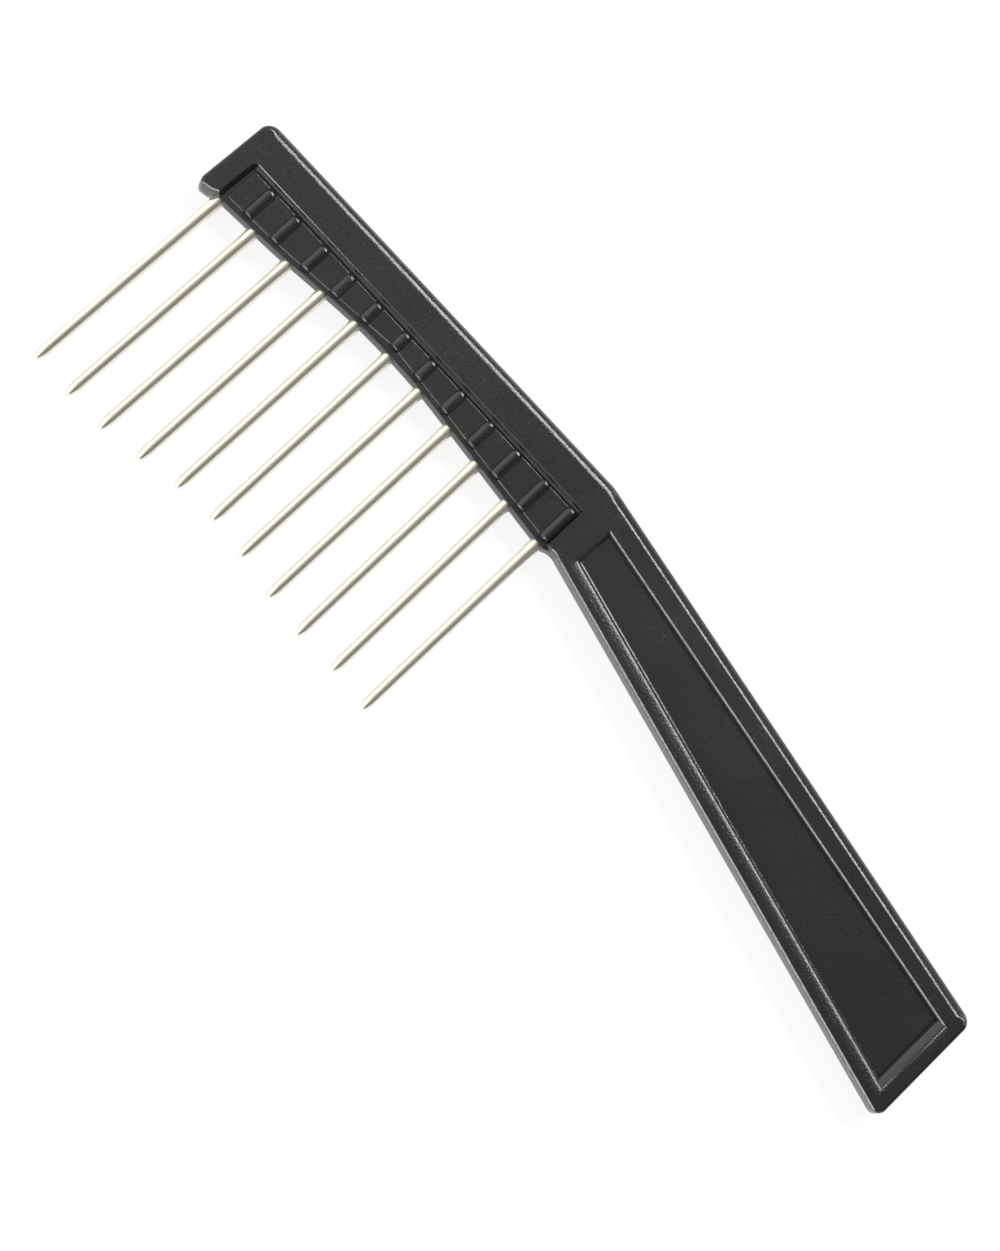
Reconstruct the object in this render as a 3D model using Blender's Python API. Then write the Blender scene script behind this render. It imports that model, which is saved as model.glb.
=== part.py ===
# Detangling comb: one moulded body, which is both head and handle, and a row of round pins.
#
# Metres, +Z up. The comb lies on its back face. +X runs from the neck toward the handle's end and
# +Y points away from the pins. The origin is on the back face at the neck, where the head's
# straight spine bends down into the handle. The body is alike on both faces, so the body and its
# cutters have their zero height at the middle of the thickness.

import math
from collections import namedtuple

import bmesh
import bpy
from mathutils import Matrix, Vector

# Slab
THICKNESS = 0.0065
SPINE_ROUND = 0.0028
ROOT_ROUND = 0.0005
HANDLE_END_ROUND = 0.0007
LOWER_DRAFT = 0.0005

# Head outline, measured from the neck
HEAD_LENGTH = 0.0966
SPINE_RISE = 0.0093
HEAD_END_DROP = 0.0095
HEAD_END_LEAN = 0.0007
HEAD_SPINE_CORNER = 0.0029
HEAD_ROOT_CORNER = 0.0015
END_BLOCK = 0.0032
SPINE_BEND_ROUND = 0.015

# Root edge, the head's lower edge that the pins stand in: two flanks that meet in a low crown
ROOT_DROP = 0.00915
ROOT_BEND_SHARES = (0.797, 0.88)
ROOT_BEND_ROUND = 0.06
ROOT_CROWN_SHARES = (0.5145, 0.5465)
ROOT_CROWN_ROUND = 0.13

# Lip beside the last pin, and the notch where the handle starts
LIP_DROP = 0.00985
LIP_SETBACK = 0.002
LIP_ROUND = 0.0012
LIP_LAND = 0.0003
NOTCH_DROP = 0.00895
NOTCH_ROUND = 0.0045

# Handle outline
HANDLE_REACH = 0.12045
HANDLE_END_LEAN = 0.0004
HANDLE_SPINE_CORNER = 0.003
HANDLE_GRIP_CORNER = 0.0023
SPINE_ANGLE = math.radians(9.82)
GRIP_ANGLE = math.radians(13.84)

# Head recess, open at the root edge: the borders of its floor, the band that rises beside the
# spine, and how far the walls lean out
RECESS_DEPTH = 0.0015
RECESS_SPINE_BORDER = 0.0094
RECESS_END_BORDER = 0.00505
RECESS_NECK_BORDER = 0.0021
RECESS_BAND_WIDTH = 0.0009
RECESS_BAND_RISE = 0.0005
RECESS_STEP_RUN = 0.0003
RECESS_END_RUN = 0.00085
RECESS_WALL_RUN = 0.0004
RECESS_CORNER = 0.0003

# Ribs that part the recess floor into pads; their places along the row are a little uneven
RIB_ROW_SETBACK = 0.0032
RIB_ROW_MARGIN = 0.01035
RIB_PLACE_SHARES = (0, 0.088, 0.182, 0.271, 0.369, 0.465, 0.551, 0.646, 0.735, 0.823, 0.916, 1)
RIB_WIDTH = 0.0026
RIB_HEIGHT = 0.0011
RIB_FOOT = 0.0005
RIB_END_MARGIN = 0.0013

# Handle recess: the borders of its floor, its walls, and the soft rounding along its mouth
PANEL_DEPTH = 0.001
PANEL_START = 0.0052
PANEL_START_ANGLE = math.radians(-87)
PANEL_SPINE_BORDER = 0.00707
PANEL_SPINE_ANGLE = math.radians(9.4)
PANEL_GRIP_BORDER = 0.00405
PANEL_GRIP_ANGLE = math.radians(13.7)
PANEL_END_BORDER = 0.0053
PANEL_END_ANGLE = math.radians(91)
PANEL_CORNER = 0.0003
PANEL_LONG_RUN = 0.0006
PANEL_SHORT_RUN = 0.00045
PANEL_SOFT_MOUTH = 0.0013
PANEL_FIRM_MOUTH = 0.0004
PANEL_MOUTH_DROP = 0.0003
MOUTH_SHARES = ((0, 1), (0.45, 0.4), (2, -0.73))

# Pins, whose places along the row, leans in the face's plane and free lengths are a little uneven
PIN_ROW_SETBACK = 0.00341
PIN_ROW_MARGIN = 0.00446
PIN_PLACE_SHARES = (0, 0.1, 0.1988, 0.2958, 0.3924, 0.4904, 0.591, 0.6919, 0.7884, 0.8941, 1)
PIN_LEAN_DEGREES = (-0.79, -0.72, -0.73, -0.26, -0.11, 0.22, -0.24, -0.02, 0.28, 0.3, -0.08)
PIN_LENGTH = 0.04695
PIN_LENGTH_SHARES = (0.988, 1.007, 1.018, 1.009, 0.994, 0.993, 0.994, 1.007, 1.012, 0.988, 0.99)
COLLAR_RADIUS = 0.0014
COLLAR_LENGTH = 0.00085
CONE_LENGTH = 0.0024
PIN_RADIUS = 0.00125
PIN_END_RADIUS = 0.00114
PIN_TIP_LENGTH = 0.0032
SHANK_RADIUS = 0.001
SHANK_DEPTH = 0.0077

# Fits, cuts and fineness
FIT_GAP = 0.0003
OVERRUN = 0.002
WELD = 0.000001
FINENESS = 0.00003
EDGE_STEPS = 4
TIP_STEPS = 5
ROUND_STEPS = 16
RIB_RINGS = 7
SMOOTH_ANGLE = math.radians(40)

Line = namedtuple("Line", "point direction")
Corner = namedtuple("Corner", "place radius size")
OutlinePoint = namedtuple("OutlinePoint", "place before after size_before size_after")
Layer = namedtuple("Layer", "run_share mouth_share rise_share height")


def sloping_line(x, y, angle):
    """A line through a point that falls toward +X by an angle."""
    return Line(Vector((x, y)), Vector((math.cos(angle), -math.sin(angle))))


def beside(line, distance):
    """The parallel line at a distance on the left side."""
    across = Vector((-line.direction.y, line.direction.x))
    return Line(line.point + across * distance, line.direction)


def crossing(first, second):
    """The point where two lines cross."""
    gap = second.point - first.point
    return first.point + first.direction * (
        gap.cross(second.direction) / first.direction.cross(second.direction))


def height_on(line, x):
    """The y of a line at an x."""
    return line.point.y + line.direction.y / line.direction.x * (x - line.point.x)


# The straight sides that the outline and the recesses share
SPINE_LINE = sloping_line(0, SPINE_RISE, 0)
HANDLE_SPINE_LINE = sloping_line(0, SPINE_RISE, SPINE_ANGLE)
HANDLE_GRIP_LINE = sloping_line(0, -NOTCH_DROP, GRIP_ANGLE)
HEAD_END_ANGLE = math.atan2(SPINE_RISE + HEAD_END_DROP, -HEAD_END_LEAN)
HEAD_END_LINE = sloping_line(-HEAD_LENGTH, SPINE_RISE, HEAD_END_ANGLE)


def side(run, mouth=0):
    """What a side of an outline carries: its edge radius or wall run, and a second width."""
    return Vector((run, mouth))


def rounded_outline(corners):
    """Points around a closed outline, counter-clockwise, with each round corner as an arc.

    A corner's size belongs to the side that follows it, and blends along the arc."""
    outline = []
    for index, corner in enumerate(corners):
        previous = corners[index - 1]
        following = corners[(index + 1) % len(corners)]
        arriving = (corner.place - previous.place).normalized()
        leaving = (following.place - corner.place).normalized()
        before = Vector((arriving.y, -arriving.x))
        after = Vector((leaving.y, -leaving.x))
        if corner.radius == 0:
            outline.append(OutlinePoint(corner.place, before, after, previous.size, corner.size))
            continue
        turn = math.atan2(arriving.cross(leaving), arriving.dot(leaving))
        reach = math.copysign(corner.radius, turn)
        centre = corner.place - arriving * reach * math.tan(turn / 2) - before * reach
        chord_angle = 2 * math.acos(max(0, 1 - FINENESS / corner.radius))
        steps = max(1, math.ceil(abs(turn) / chord_angle))
        for step in range(steps + 1):
            share = step / steps
            normal = before.copy()
            normal.rotate(Matrix.Rotation(turn * share, 2))
            size = previous.size.lerp(corner.size, share)
            outline.append(OutlinePoint(centre + normal * reach, normal, normal, size, size))
    return outline


def placed(point, layer):
    """The place of an outline point on a layer, moved out from both sides that meet there."""
    first, second = (layer.run_share * size.x + layer.mouth_share * size.y
                     for size in (point.size_before, point.size_after))
    turn = point.before.cross(point.after)
    if abs(turn) < WELD:
        shift = point.after * second
    else:
        shift = Vector((first * point.after.y - second * point.before.y,
                        second * point.before.x - first * point.after.x)) / turn
    spot = point.place + shift
    return Vector((spot.x, spot.y, layer.height + layer.rise_share * point.size_after.x))


def layered_solid(outline, layers):
    """A closed solid that is extruded through its layers, from the lowest to the highest."""
    bm = bmesh.new()
    number = bm.verts.layers.int.new("outline_number")
    for index, point in enumerate(outline):
        vert = bm.verts.new(placed(point, layers[0]))
        vert[number] = index
    bottom = bm.faces.new(bm.verts)
    top = bottom
    for layer in layers[1:]:
        grown = bmesh.ops.extrude_face_region(bm, geom=[top])
        if top is not bottom:
            bmesh.ops.delete(bm, geom=[top], context="FACES_ONLY")
        top = next(item for item in grown["geom"] if isinstance(item, bmesh.types.BMFace))
        for vert in top.verts:
            vert.co = placed(outline[vert[number]], layer)
    bmesh.ops.recalc_face_normals(bm, faces=bm.faces)
    return bm


def body_corners():
    """The corners of the body at the middle of its thickness, each with what its next side carries.

    A side carries the radius of its edges, and how far it leans in toward both faces."""
    handle_end = HANDLE_REACH - HANDLE_END_LEAN
    block = END_BLOCK - HEAD_LENGTH - HEAD_END_LEAN
    bend_x_share, bend_y_share = ROOT_BEND_SHARES
    crown_x_share, crown_y_share = ROOT_CROWN_SHARES
    spine = side(SPINE_ROUND)
    root = side(ROOT_ROUND, LOWER_DRAFT)
    end = side(HANDLE_END_ROUND)
    handle_top = Vector((HANDLE_REACH, height_on(HANDLE_SPINE_LINE, HANDLE_REACH)))
    handle_low = Vector((handle_end, height_on(HANDLE_GRIP_LINE, handle_end)))
    head_low = Vector((-HEAD_LENGTH - HEAD_END_LEAN, -HEAD_END_DROP))
    root_bend = Vector((-HEAD_LENGTH * bend_x_share, -ROOT_DROP * bend_y_share))
    root_crown = Vector((-HEAD_LENGTH * crown_x_share, -ROOT_DROP * crown_y_share))
    return [
        Corner(handle_top, HANDLE_SPINE_CORNER, spine),
        Corner(SPINE_LINE.point, SPINE_BEND_ROUND, spine),
        Corner(HEAD_END_LINE.point, HEAD_SPINE_CORNER, side(ROOT_ROUND)),
        Corner(head_low, HEAD_ROOT_CORNER, root),
        Corner(Vector((block, -HEAD_END_DROP)), 0, root),
        Corner(Vector((block, -ROOT_DROP)), 0, root),
        Corner(root_bend, ROOT_BEND_ROUND, root),
        Corner(root_crown, ROOT_CROWN_ROUND, root),
        Corner(Vector((-LIP_SETBACK, -LIP_DROP)), LIP_ROUND, root),
        Corner(HANDLE_GRIP_LINE.point, NOTCH_ROUND, root),
        Corner(handle_low, HANDLE_GRIP_CORNER, end),
    ]


def rounded_slab(outline):
    """The slab of the body, whose edges on both faces are quarter rounds of each side's radius."""
    half = THICKNESS / 2
    angles = [math.pi / 2 * step / EDGE_STEPS for step in range(EDGE_STEPS + 1)]
    back = [Layer(math.sin(angle) - 1, -1, 1 - math.cos(angle), -half) for angle in angles]
    front = [Layer(math.sin(angle) - 1, -1, math.cos(angle) - 1, half) for angle in angles[::-1]]
    return layered_solid(outline, back + [Layer(0, 0, 0, 0)] + front)


def root_edge(outline, x):
    """The y of the body's lower side at an x."""
    spans = zip(outline, outline[1:])
    heights = [start.place.lerp(stop.place, (x - start.place.x) / (stop.place.x - start.place.x)).y
               for start, stop in spans if start.place.x < x <= stop.place.x]
    return min(heights)


def on_both_faces(bm):
    """Adds the mirror image of a front-face cutter at the back face."""
    middle = Matrix.Identity(4)
    bmesh.ops.mirror(bm, geom=bm.verts[:] + bm.edges[:] + bm.faces[:], matrix=middle,
                     merge_dist=0, axis="Z")
    bmesh.ops.recalc_face_normals(bm, faces=bm.faces)
    return bm


def recess_cutter():
    """The head recess before its ribs: it runs out over the root edge and over the lip."""
    face = THICKNESS / 2
    floor = face - RECESS_DEPTH
    top = beside(SPINE_LINE, -RECESS_SPINE_BORDER)
    end = beside(HEAD_END_LINE, RECESS_END_BORDER)
    land = beside(HANDLE_GRIP_LINE, -LIP_LAND)
    below = sloping_line(0, -LIP_DROP - OVERRUN, 0)
    step = side(RECESS_STEP_RUN, RECESS_BAND_WIDTH)
    slope = side(RECESS_END_RUN)
    wall = side(RECESS_WALL_RUN)
    outline = rounded_outline([
        Corner(Vector((-RECESS_NECK_BORDER, height_on(top, 0))), 0, step),
        Corner(crossing(end, top), RECESS_CORNER, slope),
        Corner(crossing(end, below), 0, wall),
        Corner(Vector((NOTCH_ROUND, height_on(below, NOTCH_ROUND))), 0, wall),
        Corner(Vector((NOTCH_ROUND, height_on(land, NOTCH_ROUND))), 0, wall),
        Corner(Vector((-RECESS_NECK_BORDER, height_on(land, -RECESS_NECK_BORDER))), 0, wall),
    ])
    layers = [Layer(0, 0, 0, floor), Layer(0, 1, 0, floor + RECESS_BAND_RISE)]
    layers += [Layer(1, 1, 0, face), Layer(1, 1, 0, face + OVERRUN)]
    return on_both_faces(layered_solid(outline, layers))


def place_in_row(share, setback, margin):
    """The x of a place along a row that starts near the neck and ends near the head's end."""
    return -setback - share * (HEAD_LENGTH - setback - margin)


def add_bar(bm, x, low, high, floor):
    """Adds a half-sunk bar with round ends: a ball that is drawn out along Y."""
    half_step = math.pi / ROUND_STEPS
    turned = Matrix.Rotation(math.pi / 2, 4, "X") @ Matrix.Rotation(half_step, 4, "Z")
    ball = bmesh.ops.create_uvsphere(bm, u_segments=ROUND_STEPS, v_segments=RIB_RINGS,
                                     radius=1, matrix=turned)
    girth = math.cos(half_step) * math.cos(math.pi / RIB_RINGS / 2)
    end_radius = RIB_WIDTH / 2
    draw = (high - low) / 2 - end_radius
    for vert in ball["verts"]:
        vert.co.x = x + vert.co.x * end_radius / girth
        vert.co.y = (low + high) / 2 + vert.co.y * end_radius + math.copysign(draw, vert.co.y)
        vert.co.z = floor + vert.co.z * RIB_HEIGHT / girth


def rib_bars(outline):
    """The bars on both faces that are kept standing in the head recess."""
    bm = bmesh.new()
    floor = THICKNESS / 2 - RECESS_DEPTH
    high = SPINE_RISE - RECESS_SPINE_BORDER + RIB_FOOT
    for share in RIB_PLACE_SHARES:
        x = place_in_row(share, RIB_ROW_SETBACK, RIB_ROW_MARGIN)
        low = root_edge(outline, x) + RIB_END_MARGIN
        add_bar(bm, x, low, high, floor)
    return on_both_faces(bm)


def panel_cutter():
    """The handle recess, whose mouth is softly rounded along the grip side and the end."""
    face = THICKNESS / 2
    top_height = height_on(beside(HANDLE_SPINE_LINE, -PANEL_SPINE_BORDER), PANEL_START)
    grip_height = height_on(beside(HANDLE_GRIP_LINE, PANEL_GRIP_BORDER), PANEL_START)
    end_place = HANDLE_REACH - PANEL_END_BORDER
    top = sloping_line(PANEL_START, top_height, PANEL_SPINE_ANGLE)
    grip = sloping_line(PANEL_START, grip_height, PANEL_GRIP_ANGLE)
    start = sloping_line(PANEL_START, (top_height + grip_height) / 2, PANEL_START_ANGLE)
    end = sloping_line(end_place, height_on(top, end_place), PANEL_END_ANGLE)
    firm = side(PANEL_LONG_RUN, PANEL_FIRM_MOUTH)
    soft = side(PANEL_SHORT_RUN, PANEL_SOFT_MOUTH)
    outline = rounded_outline([
        Corner(crossing(top, end), 0, firm),
        Corner(crossing(top, start), PANEL_CORNER, firm),
        Corner(crossing(grip, start), PANEL_CORNER, soft),
        Corner(crossing(grip, end), 0, soft),
    ])
    layers = [Layer(0, 0, 0, face - PANEL_DEPTH)]
    for width_share, drop_share in MOUTH_SHARES:
        layers.append(Layer(1, width_share, 0, face - PANEL_MOUTH_DROP * drop_share))
    layers.append(layers[-1]._replace(height=face + OVERRUN))
    return on_both_faces(layered_solid(outline, layers))


def pin_places(outline):
    """Where each pin stands: its seat on the root edge, and its lean."""
    places = []
    for share, lean in zip(PIN_PLACE_SHARES, PIN_LEAN_DEGREES):
        x = place_in_row(1 - share, PIN_ROW_SETBACK, PIN_ROW_MARGIN)
        seat = min(root_edge(outline, x - COLLAR_RADIUS), root_edge(outline, x + COLLAR_RADIUS))
        places.append((Vector((x, seat, 0)), math.radians(lean)))
    return places


def socket_cutters(places):
    """Blind holes for the shanks of all the pins."""
    bm = bmesh.new()
    radius = SHANK_RADIUS + FIT_GAP
    depth = SHANK_DEPTH + FIT_GAP
    for seat, lean in places:
        along_y = Matrix.Translation(Vector((0, (depth - OVERRUN) / 2, 0))) @ Matrix.Rotation(
            math.pi / 2, 4, "X")
        bmesh.ops.create_cone(bm, cap_ends=True, segments=ROUND_STEPS, radius1=radius,
                              radius2=radius, depth=depth + OVERRUN,
                              matrix=Matrix.Translation(seat) @ Matrix.Rotation(lean, 4, "Z")
                              @ along_y)
    return bm


def pin_profile(length):
    """The turned profile of a pin, as distances out from its seat and radii."""
    shoulder = FIT_GAP + COLLAR_LENGTH
    tip_start = length - PIN_TIP_LENGTH
    profile = [
        (-SHANK_DEPTH, 0),
        (-SHANK_DEPTH, SHANK_RADIUS),
        (FIT_GAP, SHANK_RADIUS),
        (FIT_GAP, COLLAR_RADIUS),
        (shoulder, COLLAR_RADIUS),
        (shoulder + CONE_LENGTH, PIN_RADIUS),
    ]
    for step in range(TIP_STEPS + 1):
        angle = math.pi / 2 * step / TIP_STEPS
        profile.append((tip_start + PIN_TIP_LENGTH * math.sin(angle),
                        PIN_END_RADIUS * math.cos(angle)))
    return profile


def turned_pin(length):
    """A pin that points along -Y: its profile is spun once round the axis."""
    bm = bmesh.new()
    verts = [bm.verts.new((radius, -distance, 0)) for distance, radius in pin_profile(length)]
    edges = [bm.edges.new(pair) for pair in zip(verts, verts[1:])]
    bmesh.ops.spin(bm, geom=verts + edges, cent=Vector(), axis=Vector((0, 1, 0)),
                   angle=2 * math.pi, steps=ROUND_STEPS, use_merge=True)
    bmesh.ops.remove_doubles(bm, verts=bm.verts, dist=WELD)
    bmesh.ops.recalc_face_normals(bm, faces=bm.faces)
    return bm


def finish(name, colour, roughness, metallic):
    """A Principled material."""
    material = bpy.data.materials.new(name)
    material.use_nodes = True
    shader = material.node_tree.nodes["Principled BSDF"]
    shader.inputs["Base Color"].default_value = (*colour, 1)
    shader.inputs["Roughness"].default_value = roughness
    shader.inputs["Metallic"].default_value = metallic
    return material


def moulded_plastic():
    """Black plastic with a fine satin grain."""
    return finish("black_moulded_plastic", (0.03, 0.029, 0.027), 0.45, 0)


def plated_steel():
    """Bright, slightly warm plated steel."""
    return finish("plated_steel", (0.78, 0.75, 0.68), 0.12, 1)


def smooth_mesh(name, bm, material=None):
    """Turns a bmesh into a smoothly shaded mesh whose true edges stay sharp."""
    mesh = bpy.data.meshes.new(name)
    bm.to_mesh(mesh)
    bm.free()
    mesh.shade_smooth()
    mesh.set_sharp_from_angle(angle=SMOOTH_ANGLE)
    if material is not None:
        mesh.materials.append(material)
    return mesh


def add_object(name, mesh, location):
    """An object at a place, in the scene's own collection."""
    piece = bpy.data.objects.new(name, mesh)
    piece.location = location
    bpy.context.scene.collection.objects.link(piece)
    return piece


def add_cutter(name, bm, location):
    """A hidden object whose volume is taken away from another."""
    cutter = add_object(name, smooth_mesh(name, bm), location)
    cutter.hide_render = True
    cutter.display_type = "WIRE"
    return cutter


def cut(piece, cutter):
    """Takes a cutter's volume away from a piece."""
    modifier = piece.modifiers.new(cutter.name, "BOOLEAN")
    modifier.operation = "DIFFERENCE"
    modifier.solver = "EXACT"
    modifier.object = cutter


def build_body(outline, places, middle):
    """The moulded body with its recesses, ribs and sockets."""
    body = add_object("comb_body", smooth_mesh("comb_body", rounded_slab(outline),
                                               moulded_plastic()), middle)
    recess = add_cutter("head_recess_cutter", recess_cutter(), middle)
    cut(recess, add_cutter("rib_bars", rib_bars(outline), middle))
    cut(body, recess)
    cut(body, add_cutter("handle_recess_cutter", panel_cutter(), middle))
    cut(body, add_cutter("socket_cutters", socket_cutters(places), middle))


def build_pins(places, middle):
    """All the pins, each turned to its own length."""
    steel = plated_steel()
    for index, (seat, lean) in enumerate(places):
        name = f"pin_{index + 1:02d}"
        length = PIN_LENGTH * PIN_LENGTH_SHARES[index]
        pin = add_object(name, smooth_mesh(name, turned_pin(length), steel), middle + seat)
        pin.rotation_euler.z = lean


def build_comb():
    """Clears the scene and builds the whole comb."""
    for old in list(bpy.data.objects):
        bpy.data.objects.remove(old, do_unlink=True)
    outline = rounded_outline(body_corners())
    places = pin_places(outline)
    middle = Vector((0, 0, THICKNESS / 2))
    build_body(outline, places, middle)
    build_pins(places, middle)


build_comb()
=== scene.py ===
# %% [markdown]
# # Detangling comb, dressed for the studio
#
# The comb is one piece of black moulded plastic, which is both head and handle, with a row of
# eleven long steel pins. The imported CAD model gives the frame: +X runs from the head to the end of
# the handle, +Y points away from the pins, and +Z comes out of the front face. Everything here is
# in metres and in that frame, so nothing has to be fitted.

# %% Load the frame
import math

import bmesh
import bpy
from mathutils import Matrix, Vector


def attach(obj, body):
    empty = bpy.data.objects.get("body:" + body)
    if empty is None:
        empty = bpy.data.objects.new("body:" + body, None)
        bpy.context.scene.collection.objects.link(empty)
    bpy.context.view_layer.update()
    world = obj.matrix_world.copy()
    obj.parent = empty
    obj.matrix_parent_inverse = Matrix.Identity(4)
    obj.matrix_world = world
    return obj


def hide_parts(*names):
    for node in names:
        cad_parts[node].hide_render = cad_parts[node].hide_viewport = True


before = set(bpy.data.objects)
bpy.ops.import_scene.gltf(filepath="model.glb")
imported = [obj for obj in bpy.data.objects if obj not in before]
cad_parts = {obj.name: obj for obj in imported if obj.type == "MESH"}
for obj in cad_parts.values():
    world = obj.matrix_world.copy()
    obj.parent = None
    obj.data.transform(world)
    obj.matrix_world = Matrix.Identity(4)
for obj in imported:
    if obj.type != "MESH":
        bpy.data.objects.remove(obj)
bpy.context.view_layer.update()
MM = 0.001
THICKNESS = 6.5 * MM
MIDDLE = THICKNESS / 2

# %% [markdown]
# ## Camera
#
# A small thing is usually photographed from well away with a long lens, so that its sides stay
# nearly parallel. The camera stands over half a metre above the comb and is turned about the line
# of sight, which is why the comb lies across the picture from corner to corner. Its three axes are
# written as one turn about Y, one about X and one about Z. The focal length is in pixels of the
# photograph.

# %% Place the camera
PHOTO_HEIGHT = 1251
FOCAL_PIXELS = 3106.3
SENSOR = 36
CLIP_NEAR, CLIP_FAR = 0.01, 20
CAMERA_PLACE = (-18.02, -163.11, 576.02)
CAMERA_TURNS = [("Y", -2.12), ("X", 13.5), ("Z", 46.29)]
camera_data = bpy.data.cameras.new("studio_camera")
camera_data.sensor_width = SENSOR
camera_data.lens = FOCAL_PIXELS * SENSOR / PHOTO_HEIGHT
camera_data.clip_start = CLIP_NEAR
camera_data.clip_end = CLIP_FAR
camera = bpy.data.objects.new("studio_camera", camera_data)
turns = Matrix.Identity(4)
for axis, degrees in CAMERA_TURNS:
    turns = turns @ Matrix.Rotation(math.radians(degrees), 4, axis)
camera.matrix_world = Matrix.Translation(Vector(CAMERA_PLACE) * MM) @ turns
bpy.context.scene.collection.objects.link(camera)
bpy.context.scene.camera = camera
print("lens", round(camera_data.lens, 1), "mm")

# %% [markdown]
# ## Floor and light
#
# Black plastic shows little colour of its own: what the eye reads is what it reflects. So the
# light is planned as a set of things to be reflected. One long soft box stands over the spine, and
# draws the bright band along it. The room is white toward the head and the pins, dim overhead, and
# dark beyond the handle and behind the spine, so that every rib and every pin has a light side and
# a dark one. The floor is white, and keeps a soft shadow.

# %% Make the floor


def material_nodes(name):
    """A new node material, with its node tree and its Principled shader."""
    material = bpy.data.materials.new(name)
    material.use_nodes = True
    tree = material.node_tree
    return material, tree, tree.nodes["Principled BSDF"]


def seen_directly(tree):
    """A value that is one for camera, mirror and glass rays, and zero for the rest."""
    path = tree.nodes.new("ShaderNodeLightPath")
    glossy = tree.nodes.new("ShaderNodeMath")
    glossy.operation = "MAXIMUM"
    tree.links.new(path.outputs["Is Camera Ray"], glossy.inputs[0])
    tree.links.new(path.outputs["Is Glossy Ray"], glossy.inputs[1])
    either = tree.nodes.new("ShaderNodeMath")
    either.operation = "MAXIMUM"
    tree.links.new(glossy.outputs[0], either.inputs[0])
    tree.links.new(path.outputs["Is Transmission Ray"], either.inputs[1])
    return either.outputs[0]


FLOOR_SIZE = 6
FLOOR_GLOW_SHARE = 0.85
PAPER_COLOUR = (0.93, 0.93, 0.93, 1)
PAPER_ROUGHNESS = 0.9
bm = bmesh.new()
bmesh.ops.create_grid(bm, x_segments=1, y_segments=1, size=FLOOR_SIZE / 2)
floor_mesh = bpy.data.meshes.new("floor")
bm.to_mesh(floor_mesh)
bm.free()
floor = bpy.data.objects.new("floor", floor_mesh)
bpy.context.scene.collection.objects.link(floor)
paper, tree, shader = material_nodes("white_paper")
shader.inputs["Base Color"].default_value = PAPER_COLOUR
shader.inputs["Roughness"].default_value = PAPER_ROUGHNESS
glow = tree.nodes.new("ShaderNodeEmission")
share = tree.nodes.new("ShaderNodeMath")
share.operation = "MULTIPLY"
share.inputs[1].default_value = FLOOR_GLOW_SHARE
tree.links.new(seen_directly(tree), share.inputs[0])
blend = tree.nodes.new("ShaderNodeMixShader")
tree.links.new(share.outputs[0], blend.inputs["Fac"])
tree.links.new(shader.outputs[0], blend.inputs[1])
tree.links.new(glow.outputs[0], blend.inputs[2])
tree.links.new(blend.outputs[0], tree.nodes["Material Output"].inputs["Surface"])
floor_mesh.materials.append(paper)
print("floor", FLOOR_SIZE, "m wide")

# %% Light the room
world = bpy.data.worlds.new("studio_room")
bpy.context.scene.world = world
world.use_nodes = True
tree = world.node_tree
background = tree.nodes["Background"]
background.inputs["Color"].default_value = (1, 1, 1, 1)
place = tree.nodes.new("ShaderNodeTexCoord").outputs["Generated"]


def room_step(axis, low, high, at_low, at_high):
    """A smooth step in the room's light along an axis, from one level to another."""
    along = tree.nodes.new("ShaderNodeVectorMath")
    along.operation = "DOT_PRODUCT"
    along.inputs[1].default_value = axis
    tree.links.new(place, along.inputs[0])
    step = tree.nodes.new("ShaderNodeMapRange")
    step.interpolation_type = "SMOOTHSTEP"
    ends = {"From Min": low, "From Max": high, "To Min": at_low, "To Max": at_high}
    for name, value in ends.items():
        step.inputs[name].default_value = value
    tree.links.new(along.outputs["Value"], step.inputs["Value"])
    return step.outputs[0]


def joined(operation, first, second):
    """Two levels added or multiplied."""
    node = tree.nodes.new("ShaderNodeMath")
    node.operation = operation
    tree.links.new(first, node.inputs[0])
    tree.links.new(second, node.inputs[1])
    return node.outputs[0]


overhead = room_step((1, 0, 0), low=0.12, high=0.4, at_low=0.27, at_high=0.03)
pin_side = room_step((-0.75, -0.5, 0), low=-0.1, high=0.26, at_low=0, at_high=0.95)
far_end = room_step((1, 0, 0), low=0.2, high=0.6, at_low=0, at_high=1)
skyline = room_step((0, 0, 1), low=0.08, high=0.32, at_low=1, at_high=0)
far_skyline = joined("MULTIPLY", far_end, skyline)
level = joined("ADD", joined("ADD", overhead, pin_side), far_skyline)
tree.links.new(level, background.inputs["Strength"])
white = tree.nodes.new("ShaderNodeBackground")
camera_path = tree.nodes.new("ShaderNodeLightPath")
choice = tree.nodes.new("ShaderNodeMixShader")
tree.links.new(camera_path.outputs["Is Camera Ray"], choice.inputs["Fac"])
tree.links.new(background.outputs[0], choice.inputs[1])
tree.links.new(white.outputs[0], choice.inputs[2])
tree.links.new(choice.outputs[0], tree.nodes["World Output"].inputs["Surface"])


def soft_box(name, direction, distance, length, width, power):
    """A rectangular lamp that looks at the comb, its long side level along X."""
    lamp = bpy.data.lights.new(name, "AREA")
    lamp.shape = "RECTANGLE"
    lamp.size = length
    lamp.size_y = width
    lamp.energy = power
    holder = bpy.data.objects.new(name, lamp)
    back = Vector(direction).normalized()
    along = Vector((1, 0, 0)) - back * back.x
    along.normalize()
    axes = Matrix((along, back.cross(along), back)).transposed().to_4x4()
    holder.matrix_world = Matrix.Translation(back * distance) @ axes
    bpy.context.scene.collection.objects.link(holder)


soft_box("spine_soft_box", direction=(0.12, 0.70, 0.70), distance=1.2,
         length=1.05, width=0.46, power=15.5)
soft_box("pin_side_soft_box", direction=(0, -0.95, 0.29), distance=1.3,
         length=1.1, width=0.34, power=9.5)
bpy.context.scene.view_settings.view_transform = "Standard"

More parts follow.
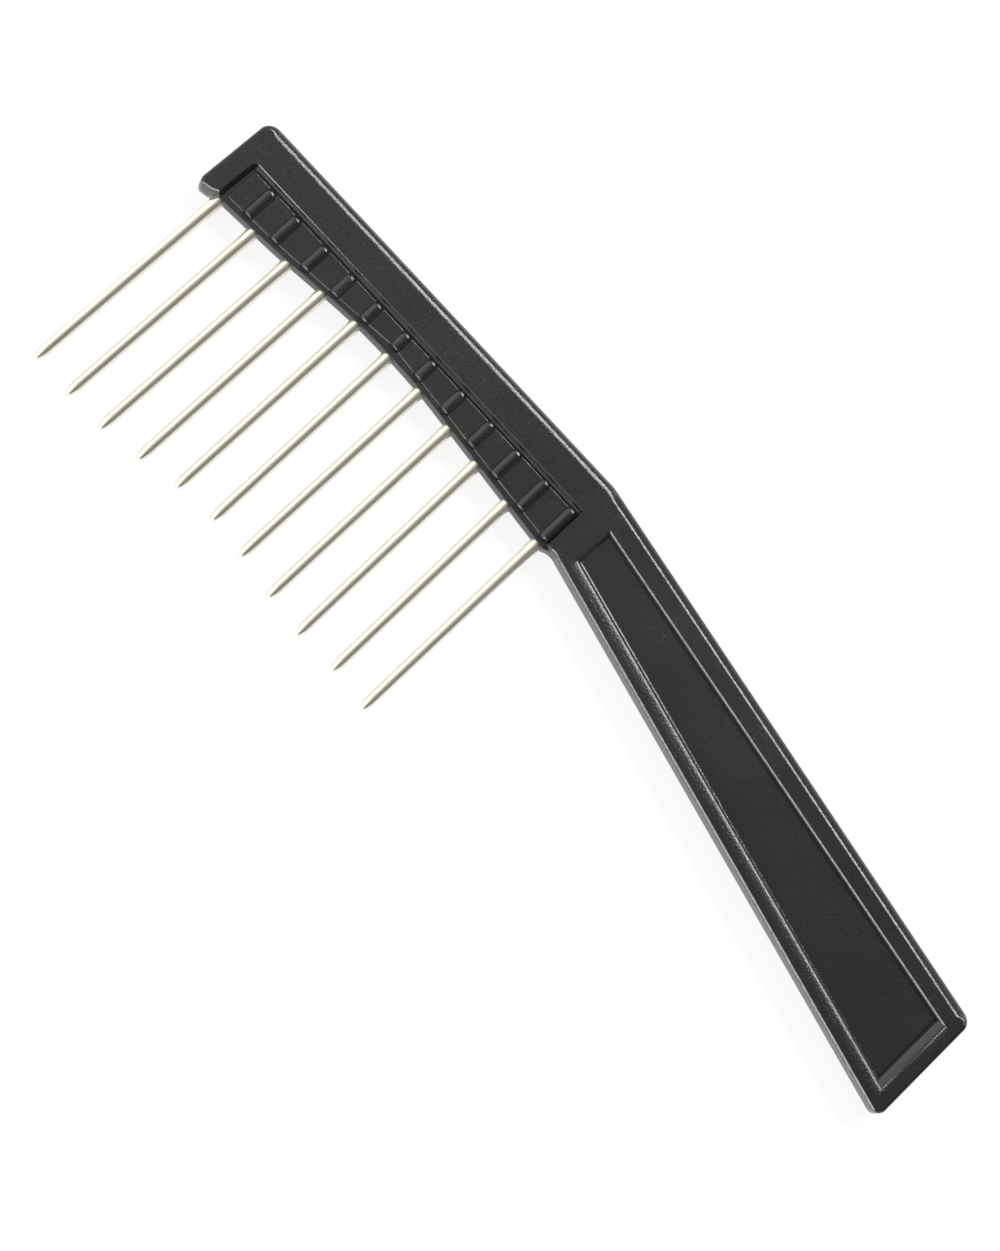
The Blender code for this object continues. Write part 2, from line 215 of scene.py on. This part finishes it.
# %% [markdown]
# ## Plates, rings and cuts
#
# The body is a slab with a rounded rim, and its recesses are shallow trays cut into both faces.
# Each starts as one flat face whose corners are bevelled, and is then extruded ring by ring: every
# ring is moved out from the outline by an amount that depends on which way that side faces. So the
# spine can be well rounded while the other edges stay firm, and one recipe gives slab and trays
# alike.

# %% Helpers for plates and rings


def table(value, rows):
    """Reads a value off a table of (place, amount) rows, straight between them."""
    for (low, first), (high, second) in zip(rows, rows[1:]):
        if value <= high:
            return first + (second - first) * max(0, value - low) / (high - low)
    return rows[-1][1]


def line_through(x, y, degrees):
    """A line through a point in mm that falls toward +X by an angle: its point and direction."""
    angle = math.radians(degrees)
    return Vector((x, y)) * MM, Vector((math.cos(angle), -math.sin(angle)))


def moved_left(line, distance):
    """The parallel line, moved to its left by a distance in mm."""
    point, direction = line
    return point + Vector((-direction.y, direction.x)) * distance * MM, direction


def crossing(first, second):
    """Where two lines cross."""
    gap = second[0] - first[0]
    return first[0] + first[1] * gap.cross(second[1]) / first[1].cross(second[1])


def rounded_plate(corners, segments):
    """A flat face with bevelled corners, given as (point, radius in mm), counter-clockwise."""
    bm = bmesh.new()
    verts = [bm.verts.new((point.x, point.y, 0)) for point, radius in corners]
    bm.faces.new(verts)
    for index, (point, radius) in enumerate(corners):
        if radius == 0:
            continue
        arriving = (point - corners[index - 1][0]).normalized()
        leaving = (corners[(index + 1) % len(corners)][0] - point).normalized()
        turn = abs(arriving.angle_signed(leaving))
        reach = radius * MM * math.tan(turn / 2)
        bmesh.ops.bevel(bm, geom=[verts[index]], offset=reach, offset_type="ABSOLUTE",
                        segments=segments, profile=0.5, affect="VERTICES", material=-1)
    return bm


def facing(direction):
    """The way that an edge faces, in degrees from +X, with the face on its left."""
    return math.degrees(math.atan2(-direction.x, direction.y)) % 360


SHALLOW_TURN = 0.4


def grow(bm, rings):
    """Extrudes the plate ring by ring. A ring gives (way out, height) for a point and a facing."""
    number = bm.verts.layers.int.new("number")
    bm.faces.ensure_lookup_table()
    top = bm.faces[0]
    places = [loop.vert.co.xy for loop in top.loops]
    for index, loop in enumerate(top.loops):
        loop.vert[number] = index
    count = len(places)
    sides = [(places[(index + 1) % count] - place).normalized()
             for index, place in enumerate(places)]

    def spot(index, ring):
        """A point of the ring: where its two neighbouring sides meet once they are moved out."""
        before, after = sides[index - 1], sides[index]
        first, low = ring(places[index], facing(before))
        second, high = ring(places[index], facing(after))
        normal, following = Vector((before.y, -before.x)), Vector((after.y, -after.x))
        turn = normal.cross(following)
        if abs(turn) < SHALLOW_TURN:
            middle = normal + following
            shift = middle * (first + second) / middle.length_squared
        else:
            shift = Vector((first * following.y - second * normal.y,
                            second * normal.x - first * following.x)) / turn
        flat = places[index] + shift
        return Vector((flat.x, flat.y, (low + high) / 2))

    bottom = top
    for vert in top.verts:
        vert.co = spot(vert[number], rings[0])
    for ring in rings[1:]:
        grown = bmesh.ops.extrude_face_region(bm, geom=[top])
        if top is not bottom:
            bmesh.ops.delete(bm, geom=[top], context="FACES_ONLY")
        top = next(item for item in grown["geom"] if isinstance(item, bmesh.types.BMFace))
        for vert in top.verts:
            vert.co = spot(vert[number], ring)
    bmesh.ops.recalc_face_normals(bm, faces=bm.faces)
    return bm


def plain_rings(rows):
    """Rings that are alike on every side, from rows of (way out, height) in mm."""
    return [lambda place, degrees, out=out, height=height: (out * MM, MIDDLE + height * MM)
            for out, height in rows]


def on_both_faces(bm):
    """Mirrors a cutter for the front face to the back face."""
    bmesh.ops.mirror(bm, geom=bm.verts[:] + bm.edges[:] + bm.faces[:], matrix=Matrix.Identity(4),
                     merge_dist=0, axis="Z")
    bmesh.ops.recalc_face_normals(bm, faces=bm.faces)
    return bm


def new_object(name, bm, lift=MIDDLE):
    """Makes an object at the origin from a mesh whose zero height is at the middle of the comb."""
    bmesh.ops.translate(bm, verts=bm.verts, vec=(0, 0, lift))
    mesh = bpy.data.meshes.new(name)
    bm.to_mesh(mesh)
    bm.free()
    piece = bpy.data.objects.new(name, mesh)
    bpy.context.scene.collection.objects.link(piece)
    return piece


def combined(piece, tool, operation="DIFFERENCE"):
    """Cuts a tool out of a piece, or joins it on, and deletes the tool."""
    modifier = piece.modifiers.new(tool.name, "BOOLEAN")
    modifier.operation = operation
    modifier.solver = "EXACT"
    modifier.object = tool
    bake(piece)
    bpy.data.objects.remove(tool, do_unlink=True)


def bake(piece):
    """Applies the piece's modifiers."""
    graph = bpy.context.evaluated_depsgraph_get()
    graph.update()
    done = bpy.data.meshes.new_from_object(piece.evaluated_get(graph))
    piece.modifiers.clear()
    piece.data = done


# %% [markdown]
# ## The slab
#
# The outline is a straight head, a slight bend at the neck, and a handle that tapers away from it.
# The head's spine is rounded like a finger rest. Along the handle it turns into a flatter slope
# between two firmer bends. The walls on the pins' side lean in from the middle of the thickness to
# both faces, as they do in a two-part mould, and their edges are small chamfers. The tables of
# rounds, leans and shares go by the way that a side faces: 0 degrees is +X and 90 is +Y.

# %% Lines that the outline and the trays share
SPINE = line_through(0, 9.3, 0)
HANDLE_SPINE = line_through(0, 9.3, 9.82)
HANDLE_GRIP = line_through(0, -8.95, 13.84)
HEAD_END = line_through(-96.6, 9.3, 92.1)
HANDLE_END = line_through(120.45, -11.5, 90.9)
slab_corners = [
    (crossing(HANDLE_SPINE, HANDLE_END), 3),
    (SPINE[0], 15),
    (HEAD_END[0], 2.9),
    (Vector((-97.27, -9.8)) * MM, 1.2),
    (Vector((-94.6, -9.75)) * MM, 0),
    (Vector((-93.6, -9.15)) * MM, 0),
    (Vector((-77, -8.05)) * MM, 60),
    (Vector((-49.7, -5.0)) * MM, 130),
    (Vector((-2, -9.85)) * MM, 1.2),
    (HANDLE_GRIP[0], 4.5),
    (crossing(HANDLE_GRIP, HANDLE_END), 1.8),
]
SLAB_SEGMENTS, RIM_STEPS = 10, 10
RIM_ROUNDS = [(0, 0.7), (5, 0.7), (80, 2.5), (92, 2.5), (175, 0.5), (240, 0.38), (300, 0.38),
              (340, 0.5), (350, 0.7), (360, 0.7)]
LEAN_IN = [(0, 0), (188, 0), (205, 0.4), (258, 0.4), (264, 0.7), (278, 0.7), (290, 0.4),
           (335, 0.4), (350, 0), (360, 0)]
HANDLE_FROM, HANDLE_LEAN = 60, 0.4
FRONT_LEAN, BACK_LEAN = [(-2, 1), (3, 0.3)], [(-2, 1), (3, 1.9)]
BLOCK_CORNER = -103.4
BLOCK_LEAN = [(-97.3, 0.1), (-94.1, 0.7)]
GRIP_SPINE_RIM = [(-2.65, 0), (-2.42, 0.02), (-2.22, 0.075), (-2.05, 0.14), (-1.95, 0.195),
                  (-1.85, 0.26), (-1.3, 0.60), (-0.72, 0.98), (-0.45, 1.35), (-0.2, 1.95), (0, 3.1)]
GRIP_SPINE_SHARES = [(0, 0), (40, 0), (79, 1), (81, 1), (88, 0), (360, 0)]
FLAT_ROUND = [(-1, 0), (-0.93, 0.015), (-0.86, 0.05), (-0.7, 0.2), (-0.55, 0.35), (-0.45, 0.45),
              (-0.35, 0.55), (-0.2, 0.7), (-0.05, 0.86), (-0.015, 0.93), (0, 1)]
FLAT_SHARES = [(0, 0), (188, 0), (205, 1), (335, 1), (350, 0), (360, 0)]


def lean_in(place, degrees, front):
    """How far a face's edge stands in from the outline, in mm: less along the handle."""
    lean = table(degrees, LEAN_IN)
    if place.x > HANDLE_FROM * MM:
        lean = min(lean, HANDLE_LEAN)
    if place.x + place.y < BLOCK_CORNER * MM:
        lean = min(lean, table(place.x / MM, BLOCK_LEAN))
    return lean * table(place.x / MM, FRONT_LEAN if front else BACK_LEAN)


def rim_ring(step, front):
    """One ring of the rim at the front or the back, from the side wall to the flat face."""
    angle = math.pi / 2 * step / RIM_STEPS
    rounds = math.sin(angle) - 1, 1 - math.cos(angle)

    def ring(place, degrees):
        flat = table(degrees, FLAT_SHARES)
        share = table(degrees, GRIP_SPINE_SHARES)
        size = table(degrees, RIM_ROUNDS)
        out, drop = (size * (whole + (chamfer - whole) * flat)
                     for whole, chamfer in zip(rounds, FLAT_ROUND[step]))
        out += (GRIP_SPINE_RIM[step][0] - out) * share - lean_in(place, degrees, front)
        drop += (GRIP_SPINE_RIM[step][1] - drop) * share
        height = MIDDLE - drop * MM
        return out * MM, height if front else -height
    return ring


steps = list(range(RIM_STEPS + 1))
rings = [rim_ring(step, False) for step in steps] + [lambda place, degrees: (0, 0)]
rings += [rim_ring(step, True) for step in steps[::-1]]
body = new_object("moulded_body", grow(rounded_plate(slab_corners, SLAB_SEGMENTS), rings))
print("slab faces", len(body.data.polygons))

# %% [markdown]
# ## Head tray, ribs and pads
#
# Between the pins' roots and the spine the head is thinned to a tray. Toward the spine its wall is
# a steep step and then a shallow band; the other walls are plain. Once the tray is cut, its open
# edge above the pins is rounded. Then the raised parts are joined on: half-round ribs with a ball
# at the top and a blunter low end, and between them low square pads with softened rims. The ribs
# are sunk by a hair below the floor's level, so that no edge of theirs lies exactly in it.

# %% Cut the head tray
TRAY_DEPTH, TRAY_SEGMENTS = 1.5, 8
tray_top = moved_left(SPINE, -9.1)
tray_end = moved_left(HEAD_END, 5.05)
tray_low = line_through(0, -11.4, 0)
lip_land = moved_left(HANDLE_GRIP, -0.3)
past_notch = line_through(4.5, 0, 90)
tray_right = line_through(-2.1, 0, 90)
tray_corners = [
    (crossing(tray_top, tray_right), 0),
    (crossing(tray_end, tray_top), 0.3),
    (crossing(tray_end, tray_low), 0),
    (crossing(tray_low, past_notch), 0),
    (crossing(past_notch, lip_land), 0),
    (crossing(tray_right, lip_land), 0),
]
BAND_WALL = [(0, -1.5), (0.12, -1.25), (0.58, -1.0), (0.63, -0.85), (0.72, -0.2), (0.84, -0.07),
             (0.92, -0.01), (1.0, 0.8)]
BAND_SHARES = [(0, 0), (80, 0), (88, 1), (92, 1), (150, 0), (360, 0)]
PLAIN_RUNS = [(0, 0.4), (90, 0.4), (175, 0.85), (185, 0.85), (265, 0.4), (360, 0.4)]
ROOT_HEIGHTS = [(-97.3, -9.0), (-94.1, -8.7), (-77, -7.75), (-49.7, -4.95), (-2, -9.3)]


def tray_ring(out, height):
    """A ring of the tray's wall: a mix of the banded wall and a plain slope."""
    def ring(place, degrees):
        share = table(degrees, BAND_SHARES)
        plain = table(degrees, PLAIN_RUNS) * (height + TRAY_DEPTH) / TRAY_DEPTH
        return (plain + (out - plain) * share) * MM, MIDDLE + height * MM
    return ring


tray = new_object("head_tray", on_both_faces(
    grow(rounded_plate(tray_corners, TRAY_SEGMENTS),
         [tray_ring(out, height) for out, height in BAND_WALL])))
combined(body, tray)
print("faces with the head tray", len(body.data.polygons))


def root_height(x):
    """The y at an x where the head tray's floor ends above the pins, in mm."""
    return table(x, ROOT_HEIGHTS)


# %% Round the tray's open edge
ROOT_EASE, ROOT_STEPS = 0.6, 5
ROOT_FROM, ROOT_TO = -91.2, -2.4
ROOT_REACH, LEVEL_SLACK = 0.5, 0.01


def is_root_edge(edge):
    """Tells whether an edge runs along the tray's floor, right above the pins."""
    middle = (edge.verts[0].co + edge.verts[1].co) / 2 / MM
    level = min(abs(middle.z - TRAY_DEPTH), abs(middle.z - (THICKNESS / MM - TRAY_DEPTH)))
    slope = abs(edge.verts[0].co.z - edge.verts[1].co.z)
    return (level < LEVEL_SLACK and slope < LEVEL_SLACK * MM and ROOT_FROM < middle.x < ROOT_TO
            and middle.y < root_height(middle.x) + ROOT_REACH)


bm = bmesh.new()
bm.from_mesh(body.data)
open_edges = [edge for edge in bm.edges if is_root_edge(edge)]
bmesh.ops.bevel(bm, geom=open_edges, offset=ROOT_EASE * MM, offset_type="OFFSET",
                segments=ROOT_STEPS, profile=0.5, affect="EDGES", clamp_overlap=True, material=-1)
bm.to_mesh(body.data)
bm.free()
print("open edges rounded", len(open_edges))

# %% Join on the ribs and the pads
RIB_WIDTH, RIB_HEIGHT, RIB_SINK = 2.6, 1.13, 0.03
RIB_FOOT, BLUNT_END = 0.85, 0.5
RIB_SEGMENTS, RIB_RINGS = 32, 16
RIB_PLACES = [-3.2, -10.5, -18.3, -25.7, -33.8, -41.8, -49.0, -56.8, -64.2, -71.6, -79.3, -86.25]
RIB_TOPS = [(-86, 0.1), (-50, 0.3), (-3, 0.45)]
PAD_LOW, PAD_HIGH, PAD_END = 1.1, 0.02, -91.35
PAD_CORNER, PAD_SEGMENTS, PAD_UNDER_RIB = 0.4, 6, 0.4
PAD_RINGS = [(0, -1.9), (0, -1.37), (-0.08, -1.29), (-0.16, -1.255), (-0.24, -1.23), (-0.32, -1.21)]


def rib(bm, x, low, high):
    """A half-sunk bar, drawn out from a sphere, with a ball at the top and a blunter low end."""
    ball = bmesh.ops.create_uvsphere(bm, u_segments=RIB_SEGMENTS, v_segments=RIB_RINGS, radius=1,
                                     matrix=Matrix.Rotation(math.pi / 2, 4, "X"))
    half = RIB_WIDTH / 2
    for vert in ball["verts"]:
        across, along, up = vert.co
        if along > 0:
            y = high - half + along * half
        else:
            y = low + BLUNT_END + along * BLUNT_END
        vert.co = Vector((x + across * half, y, up * RIB_HEIGHT)) * MM
    bmesh.ops.translate(bm, verts=ball["verts"], vec=(0, 0, MIDDLE - (TRAY_DEPTH + RIB_SINK) * MM))


def pad(left, right):
    """A low plate with softened rims, between two ribs."""
    spots = [(left, root_height(left) + PAD_LOW), (right, root_height(right) + PAD_LOW),
             (right, PAD_HIGH), (left, PAD_HIGH)]
    corners = [(Vector(spot) * MM, PAD_CORNER) for spot in spots]
    return new_object("pad", on_both_faces(
        grow(rounded_plate(corners, PAD_SEGMENTS), plain_rings(PAD_RINGS))))


bm = bmesh.new()
for x in RIB_PLACES:
    rib(bm, x, root_height(x) + RIB_FOOT, table(x, RIB_TOPS))
combined(body, new_object("ribs", on_both_faces(bm)), "UNION")
inset = RIB_WIDTH / 2 - PAD_UNDER_RIB
pad_sides = [(left + inset, right - inset) for right, left in zip(RIB_PLACES, RIB_PLACES[1:])]
pad_sides.append((PAD_END, RIB_PLACES[-1] - inset))
for left, right in pad_sides:
    combined(body, pad(left, right), "UNION")
print("faces with ribs and pads", len(body.data.polygons))

# %% [markdown]
# ## Handle tray
#
# The handle's tray is wider at its end than at the neck. Its wall is firm toward the spine and soft
# toward the pins, and its mouth at the end is a long slope. The walls share their heights, and one
# changes into the next at the corners. A flat plate is joined onto the floor, which leaves a fine
# groove along the pins' side and the end. Last, every edge that is still sharp gets a small round.

# %% Cut the handle tray
panel_top = line_through(5.2, 1.225, 9.4)
panel_grip = line_through(5.2, -6.08, 13.7)
panel_start = line_through(5.2, -2.65, -87)
panel_end = line_through(115.15, -16.9, 91)
panel_corners = [
    (crossing(panel_top, panel_end), 0),
    (crossing(panel_top, panel_start), 0),
    (crossing(panel_grip, panel_start), 0.3),
    (crossing(panel_grip, panel_end), 0),
]
WALL_HEIGHTS = [-1.3, -1.01, -0.95, -0.8, -0.6, -0.4, -0.28, -0.2, -0.14, -0.09, -0.045, -0.003,
                0.8]
FIRM_WALL = [0.46, 0.48, 0.484, 0.495, 0.525, 0.62, 0.7, 0.78, 0.84, 0.885, 0.93, 1.0, 1.1]
NECK_WALL = [-0.1, 0, 0.06, 0.2, 0.38, 0.55, 0.65, 0.73, 0.8, 0.85, 0.9, 1.0, 1.1]
SOFT_WALL = [-0.16, -0.14, 0.14, 0.28, 0.41, 0.54, 0.62, 0.72, 0.9, 1.2, 1.6, 2.4, 2.6]
END_WALL = [0.14, 0.2, 0.24, 0.42, 0.76, 1.14, 1.38, 1.57, 1.75, 1.95, 2.2, 2.8, 3.0]
WALLS = [(0, END_WALL), (60, FIRM_WALL), (120, FIRM_WALL), (175, NECK_WALL), (190, NECK_WALL),
         (230, SOFT_WALL), (290, SOFT_WALL), (350, END_WALL), (360, END_WALL)]


def panel_ring(step):
    """A ring of the panel's wall, whose shape depends on which way that side faces."""
    def ring(place, degrees):
        out = table(degrees, [(turn, wall[step]) for turn, wall in WALLS])
        return out * MM, MIDDLE + WALL_HEIGHTS[step] * MM
    return ring


panel = new_object("handle_tray", on_both_faces(
    grow(rounded_plate(panel_corners, TRAY_SEGMENTS),
         [panel_ring(step) for step in range(len(WALL_HEIGHTS))])))
combined(body, panel)
inner = [moved_left(line, shift) for line, shift in (
    (panel_top, 0.9), (panel_start, 0.9), (panel_grip, 0), (panel_end, -0.1))]
FLOOR_CORNER, FLOOR_SEGMENTS = 0.45, 6
inner_corners = [(crossing(inner[first], inner[second]), FLOOR_CORNER)
                 for first, second in ((0, 3), (0, 1), (2, 1), (2, 3))]
FLOOR_RINGS = [(0, -1.5), (0, -1.26), (-0.03, -1.2), (-0.22, -1.03), (-0.28, -1.0)]
combined(body, new_object("handle_floor", on_both_faces(
    grow(rounded_plate(inner_corners, FLOOR_SEGMENTS), plain_rings(FLOOR_RINGS)))), "UNION")
print("faces with the handle tray", len(body.data.polygons))

# %% Ease every remaining edge
EASE_WIDTH, EASE_STEPS, EASE_ANGLE = 0.12, 3, 32
SHARP_ANGLE = math.radians(50)
ease = body.modifiers.new("eased_edges", "BEVEL")
ease.width = EASE_WIDTH * MM
ease.segments = EASE_STEPS
ease.limit_method = "ANGLE"
ease.angle_limit = math.radians(EASE_ANGLE)
ease.use_clamp_overlap = True
bake(body)
body.data.shade_smooth()
body.data.set_sharp_from_angle(angle=SHARP_ANGLE)
weighted = body.modifiers.new("flat_faces", "WEIGHTED_NORMAL")
weighted.keep_sharp = True
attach(body, "root")
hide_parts("comb_body")
print("body faces", len(body.data.polygons))

# %% [markdown]
# ## Pins
#
# Each pin is turned from steel wire: a collar that stands against the plastic, a short cone, a long
# plain shaft and a pointed, rounded tip. A turned thing is made the way that a lathe makes it, by
# spinning one profile about its axis.

# %% Turn the pins
PIN_SHARES = (0, 0.1, 0.1988, 0.2958, 0.3924, 0.4904, 0.591, 0.6919, 0.7884, 0.8941, 1)
PIN_LEANS = (-0.79, -0.72, -0.73, -0.26, -0.11, 0.22, -0.24, -0.02, 0.28, 0.3, -0.08)
PIN_REACHES = (0.988, 1.007, 1.018, 1.009, 0.994, 0.993, 0.994, 1.007, 1.012, 0.988, 0.99)
PIN_ROW_LENGTH, PIN_ROW_SETBACK = 88.73, 3.41
PIN_LENGTH, CONE_END, TIP_LENGTH = 47.4, 4, 3.2
COLLAR_RADIUS, SHAFT_RADIUS, END_RADIUS = 1.4, 1.25, 1.14
SHAFT_STEPS, TIP_STEPS, TURN_STEPS = 8, 10, 48
SAME_POINT = 0.001 * MM


def pin_profile(reach):
    """The half outline of a pin: distances out from its seat and radii, in mm."""
    profile = [(-1.5, 0), (-1.5, COLLAR_RADIUS - 0.1), (1.45, COLLAR_RADIUS),
               (1.6, COLLAR_RADIUS - 0.03), (1.9, COLLAR_RADIUS - 0.07), (CONE_END, SHAFT_RADIUS)]
    for step in range(1, SHAFT_STEPS + 1):
        along = step / SHAFT_STEPS
        profile.append((CONE_END + (reach - TIP_LENGTH - CONE_END) * along,
                        SHAFT_RADIUS + (END_RADIUS - SHAFT_RADIUS) * along))
    for step in range(1, TIP_STEPS + 1):
        angle = math.pi / 2 * step / TIP_STEPS
        profile.append((reach - TIP_LENGTH + TIP_LENGTH * math.sin(angle),
                        END_RADIUS * math.cos(angle)))
    return profile


pins = []
for index, (share, lean, reach) in enumerate(zip(PIN_SHARES, PIN_LEANS, PIN_REACHES)):
    node = f"pin_{index + 1:02d}"
    x = PIN_ROW_LENGTH * (share - 1) - PIN_ROW_SETBACK
    seat = min(root_height(x - COLLAR_RADIUS), root_height(x + COLLAR_RADIUS))
    bm = bmesh.new()
    verts = [bm.verts.new(Vector((radius, -distance, 0)) * MM)
             for distance, radius in pin_profile(PIN_LENGTH * reach)]
    edges = [bm.edges.new(pair) for pair in zip(verts, verts[1:])]
    bmesh.ops.spin(bm, geom=verts + edges, cent=(0, 0, 0), axis=(0, 1, 0), angle=2 * math.pi,
                   steps=TURN_STEPS, use_merge=True)
    bmesh.ops.remove_doubles(bm, verts=bm.verts, dist=SAME_POINT)
    bmesh.ops.recalc_face_normals(bm, faces=bm.faces)
    turn = Matrix.Translation(Vector((x, seat, 0)) * MM) @ Matrix.Rotation(
        math.radians(lean), 4, "Z")
    bmesh.ops.transform(bm, matrix=turn, verts=bm.verts)
    pin = new_object(f"steel_{node}", bm)
    pin.data.shade_smooth()
    pin.data.set_sharp_from_angle(angle=SHARP_ANGLE)
    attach(pin, "root")
    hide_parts(node)
    pins.append(pin)
print(len(pins), "pins")

# %% [markdown]
# ## Finishes
#
# The mould was given a fine grain, so the plastic breaks every reflection into specks. That is a
# bump on the surface and a change of gloss, both from noise in the object's own coordinates. The
# pins are plated, so they are mirrors of a warm metal with only faint marks from the wire's
# drawing.

# %% Plastic


def noise(tree, place, scale, detail, roughness=0.5):
    """A noise texture on a coordinate."""
    node = tree.nodes.new("ShaderNodeTexNoise")
    node.inputs["Scale"].default_value = scale
    node.inputs["Detail"].default_value = detail
    node.inputs["Roughness"].default_value = roughness
    tree.links.new(place, node.inputs["Vector"])
    return node.outputs["Fac"]


def ranged(tree, value, low, high, new_low, new_high):
    """A value taken from one range to another."""
    node = tree.nodes.new("ShaderNodeMapRange")
    node.inputs["From Min"].default_value = low
    node.inputs["From Max"].default_value = high
    node.inputs["To Min"].default_value = new_low
    node.inputs["To Max"].default_value = new_high
    tree.links.new(value, node.inputs["Value"])
    return node.outputs[0]


def bumped(tree, shader, height, distance):
    """Adds a bump to a shader's normal."""
    node = tree.nodes.new("ShaderNodeBump")
    node.inputs["Strength"].default_value = 1
    node.inputs["Distance"].default_value = distance
    tree.links.new(height, node.inputs["Height"])
    tree.links.new(node.outputs[0], shader.inputs["Normal"])


GRAIN_HEIGHT = 0.055 * MM
DARK_BLACK, LIGHT_BLACK = (0.0090, 0.0086, 0.0078, 1), (0.0115, 0.0111, 0.0103, 1)
plastic, tree, shader = material_nodes("black_moulded_plastic")
place = tree.nodes.new("ShaderNodeTexCoord").outputs["Object"]
grain = noise(tree, place, scale=2500, detail=2, roughness=0.6)
patches = noise(tree, place, scale=60, detail=3)
bumped(tree, shader, grain, GRAIN_HEIGHT)
gloss = ranged(tree, patches, low=0.3, high=0.7, new_low=0.17, new_high=0.22)
tree.links.new(gloss, shader.inputs["Roughness"])
shader.inputs["Specular IOR Level"].default_value = 0.75
tint = tree.nodes.new("ShaderNodeMix")
tint.data_type = "RGBA"
tint.inputs["A"].default_value = DARK_BLACK
tint.inputs["B"].default_value = LIGHT_BLACK
tree.links.new(grain, tint.inputs["Factor"])
tree.links.new(tint.outputs["Result"], shader.inputs["Base Color"])
body.data.materials.clear()
body.data.materials.append(plastic)

# %% Plated steel
STEEL_COLOUR, STEEL_SHARE = (0.84, 0.81, 0.70, 1), 0.8
MARK_STRETCH, MARK_HEIGHT = (1, 0.02, 1), 0.002 * MM
steel, tree, shader = material_nodes("plated_steel")
place = tree.nodes.new("ShaderNodeTexCoord").outputs["Object"]
stretch = tree.nodes.new("ShaderNodeMapping")
stretch.inputs["Scale"].default_value = MARK_STRETCH
tree.links.new(place, stretch.inputs["Vector"])
marks = noise(tree, stretch.outputs[0], scale=5000, detail=2)
bumped(tree, shader, marks, MARK_HEIGHT)
gloss = ranged(tree, marks, low=0.3, high=0.7, new_low=0.1, new_high=0.16)
tree.links.new(gloss, shader.inputs["Roughness"])
shader.inputs["Metallic"].default_value = STEEL_SHARE
shader.inputs["Base Color"].default_value = STEEL_COLOUR
for pin in pins:
    pin.data.materials.append(steel)
print("finishes", plastic.name, steel.name)
